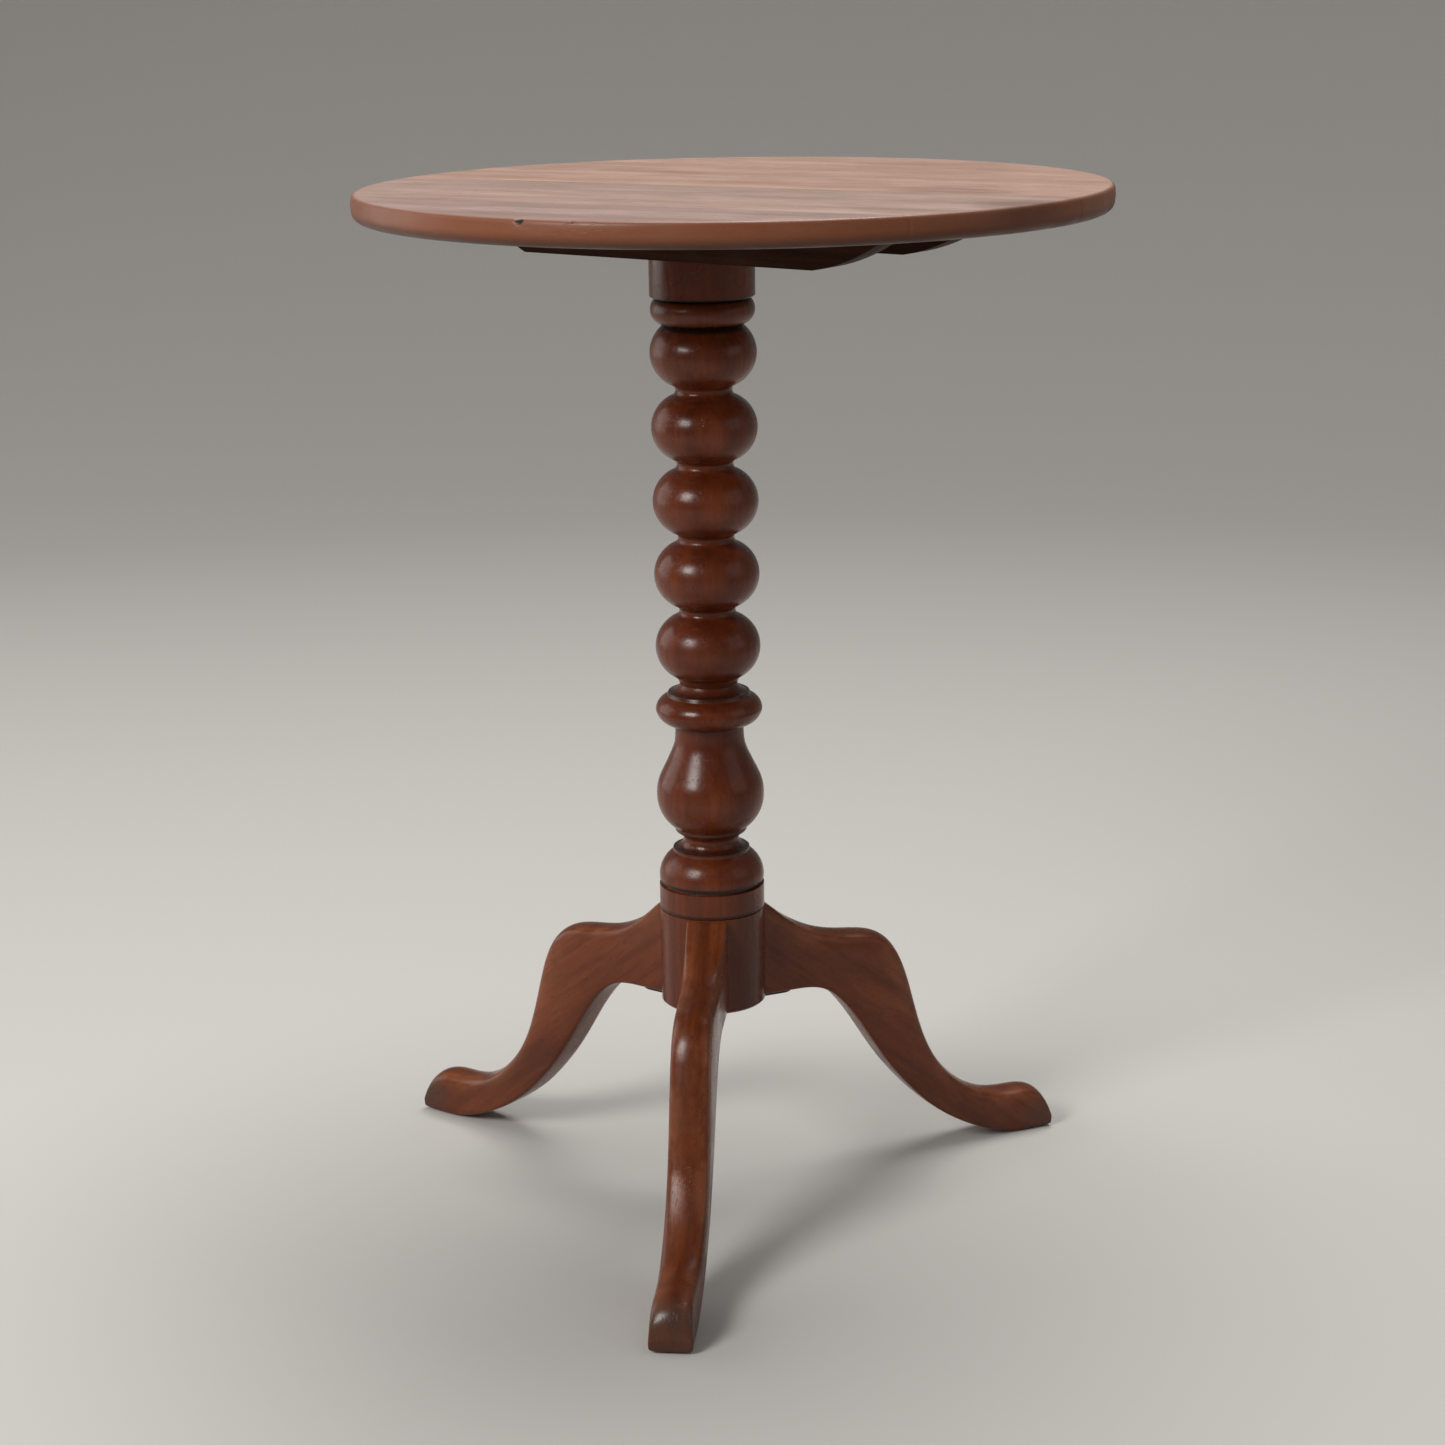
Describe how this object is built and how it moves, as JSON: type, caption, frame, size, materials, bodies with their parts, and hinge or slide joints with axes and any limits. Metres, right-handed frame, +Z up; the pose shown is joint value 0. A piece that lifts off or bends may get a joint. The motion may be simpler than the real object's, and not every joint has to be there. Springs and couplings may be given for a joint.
{
  "type": "tilt top table",
  "caption": "Round occasional table whose top tilts up to vertical on a bobbin-turned column with splayed cabriole legs, held level by a sprung brass catch.",
  "frame": {"origin": "on the floor, on the column's axis", "axes": "+Z up; +X towards the catch, the side of the top that lifts; +Y towards the left-hand bearer seen from the catch's opposite side"},
  "size_m": [0.5205, 0.476, 0.68],
  "materials": {
    "top_wood": "satin wax over straight-grained reddish hardwood, paler on the face, orange-brown at the rim",
    "column_wood": "satin polish, dark wax in the grooves",
    "leg_wood": "satin polish, worn at the toes",
    "underside_wood": "thin dull stain",
    "plain_wood": "bare hardwood, waxed where it runs",
    "catch_brass": "aged lacquered brass",
    "strap_iron": "blackened wrought iron",
    "screw_steel": "dull steel"
  },
  "bodies": {
    "base": {"column": "column_wood", "leg_rear": "leg_wood", "leg_front_left": "leg_wood", "leg_front_right": "leg_wood", "leg_strap": "strap_iron", "strap_screws": "screw_steel", "block": "underside_wood", "tenon_wedge": "plain_wood", "pivot_pins": "plain_wood", "keep": "catch_brass", "keep_screws": "catch_brass"},
    "top": {"board_front": "top_wood", "board_middle": "top_wood", "board_back": "top_wood", "board_dowels": "plain_wood", "bearer_right": "underside_wood", "bearer_left": "underside_wood", "bearer_screws": "screw_steel", "catch_case": "catch_brass", "catch_screws": "catch_brass", "spring_stud": "catch_brass", "catch_spring": "screw_steel"},
    "bolt": {"catch_bolt": "catch_brass", "catch_knob": "catch_brass"}
  },
  "joints": [
    {"name": "top_tilt", "type": "hinge", "parent": "base", "child": "top", "pos_m": [-0.027, 0, 0.65], "axis": [0, -1, 0], "range_deg": [0, 90]},
    {"name": "catch_pull", "type": "slide", "parent": "top", "child": "bolt", "axis": [1, 0, 0], "range_m": [0, 0.006], "stiffness_N_per_m": 600, "springref_m": -0.004, "deforming": ["catch_spring"]}
  ]
}
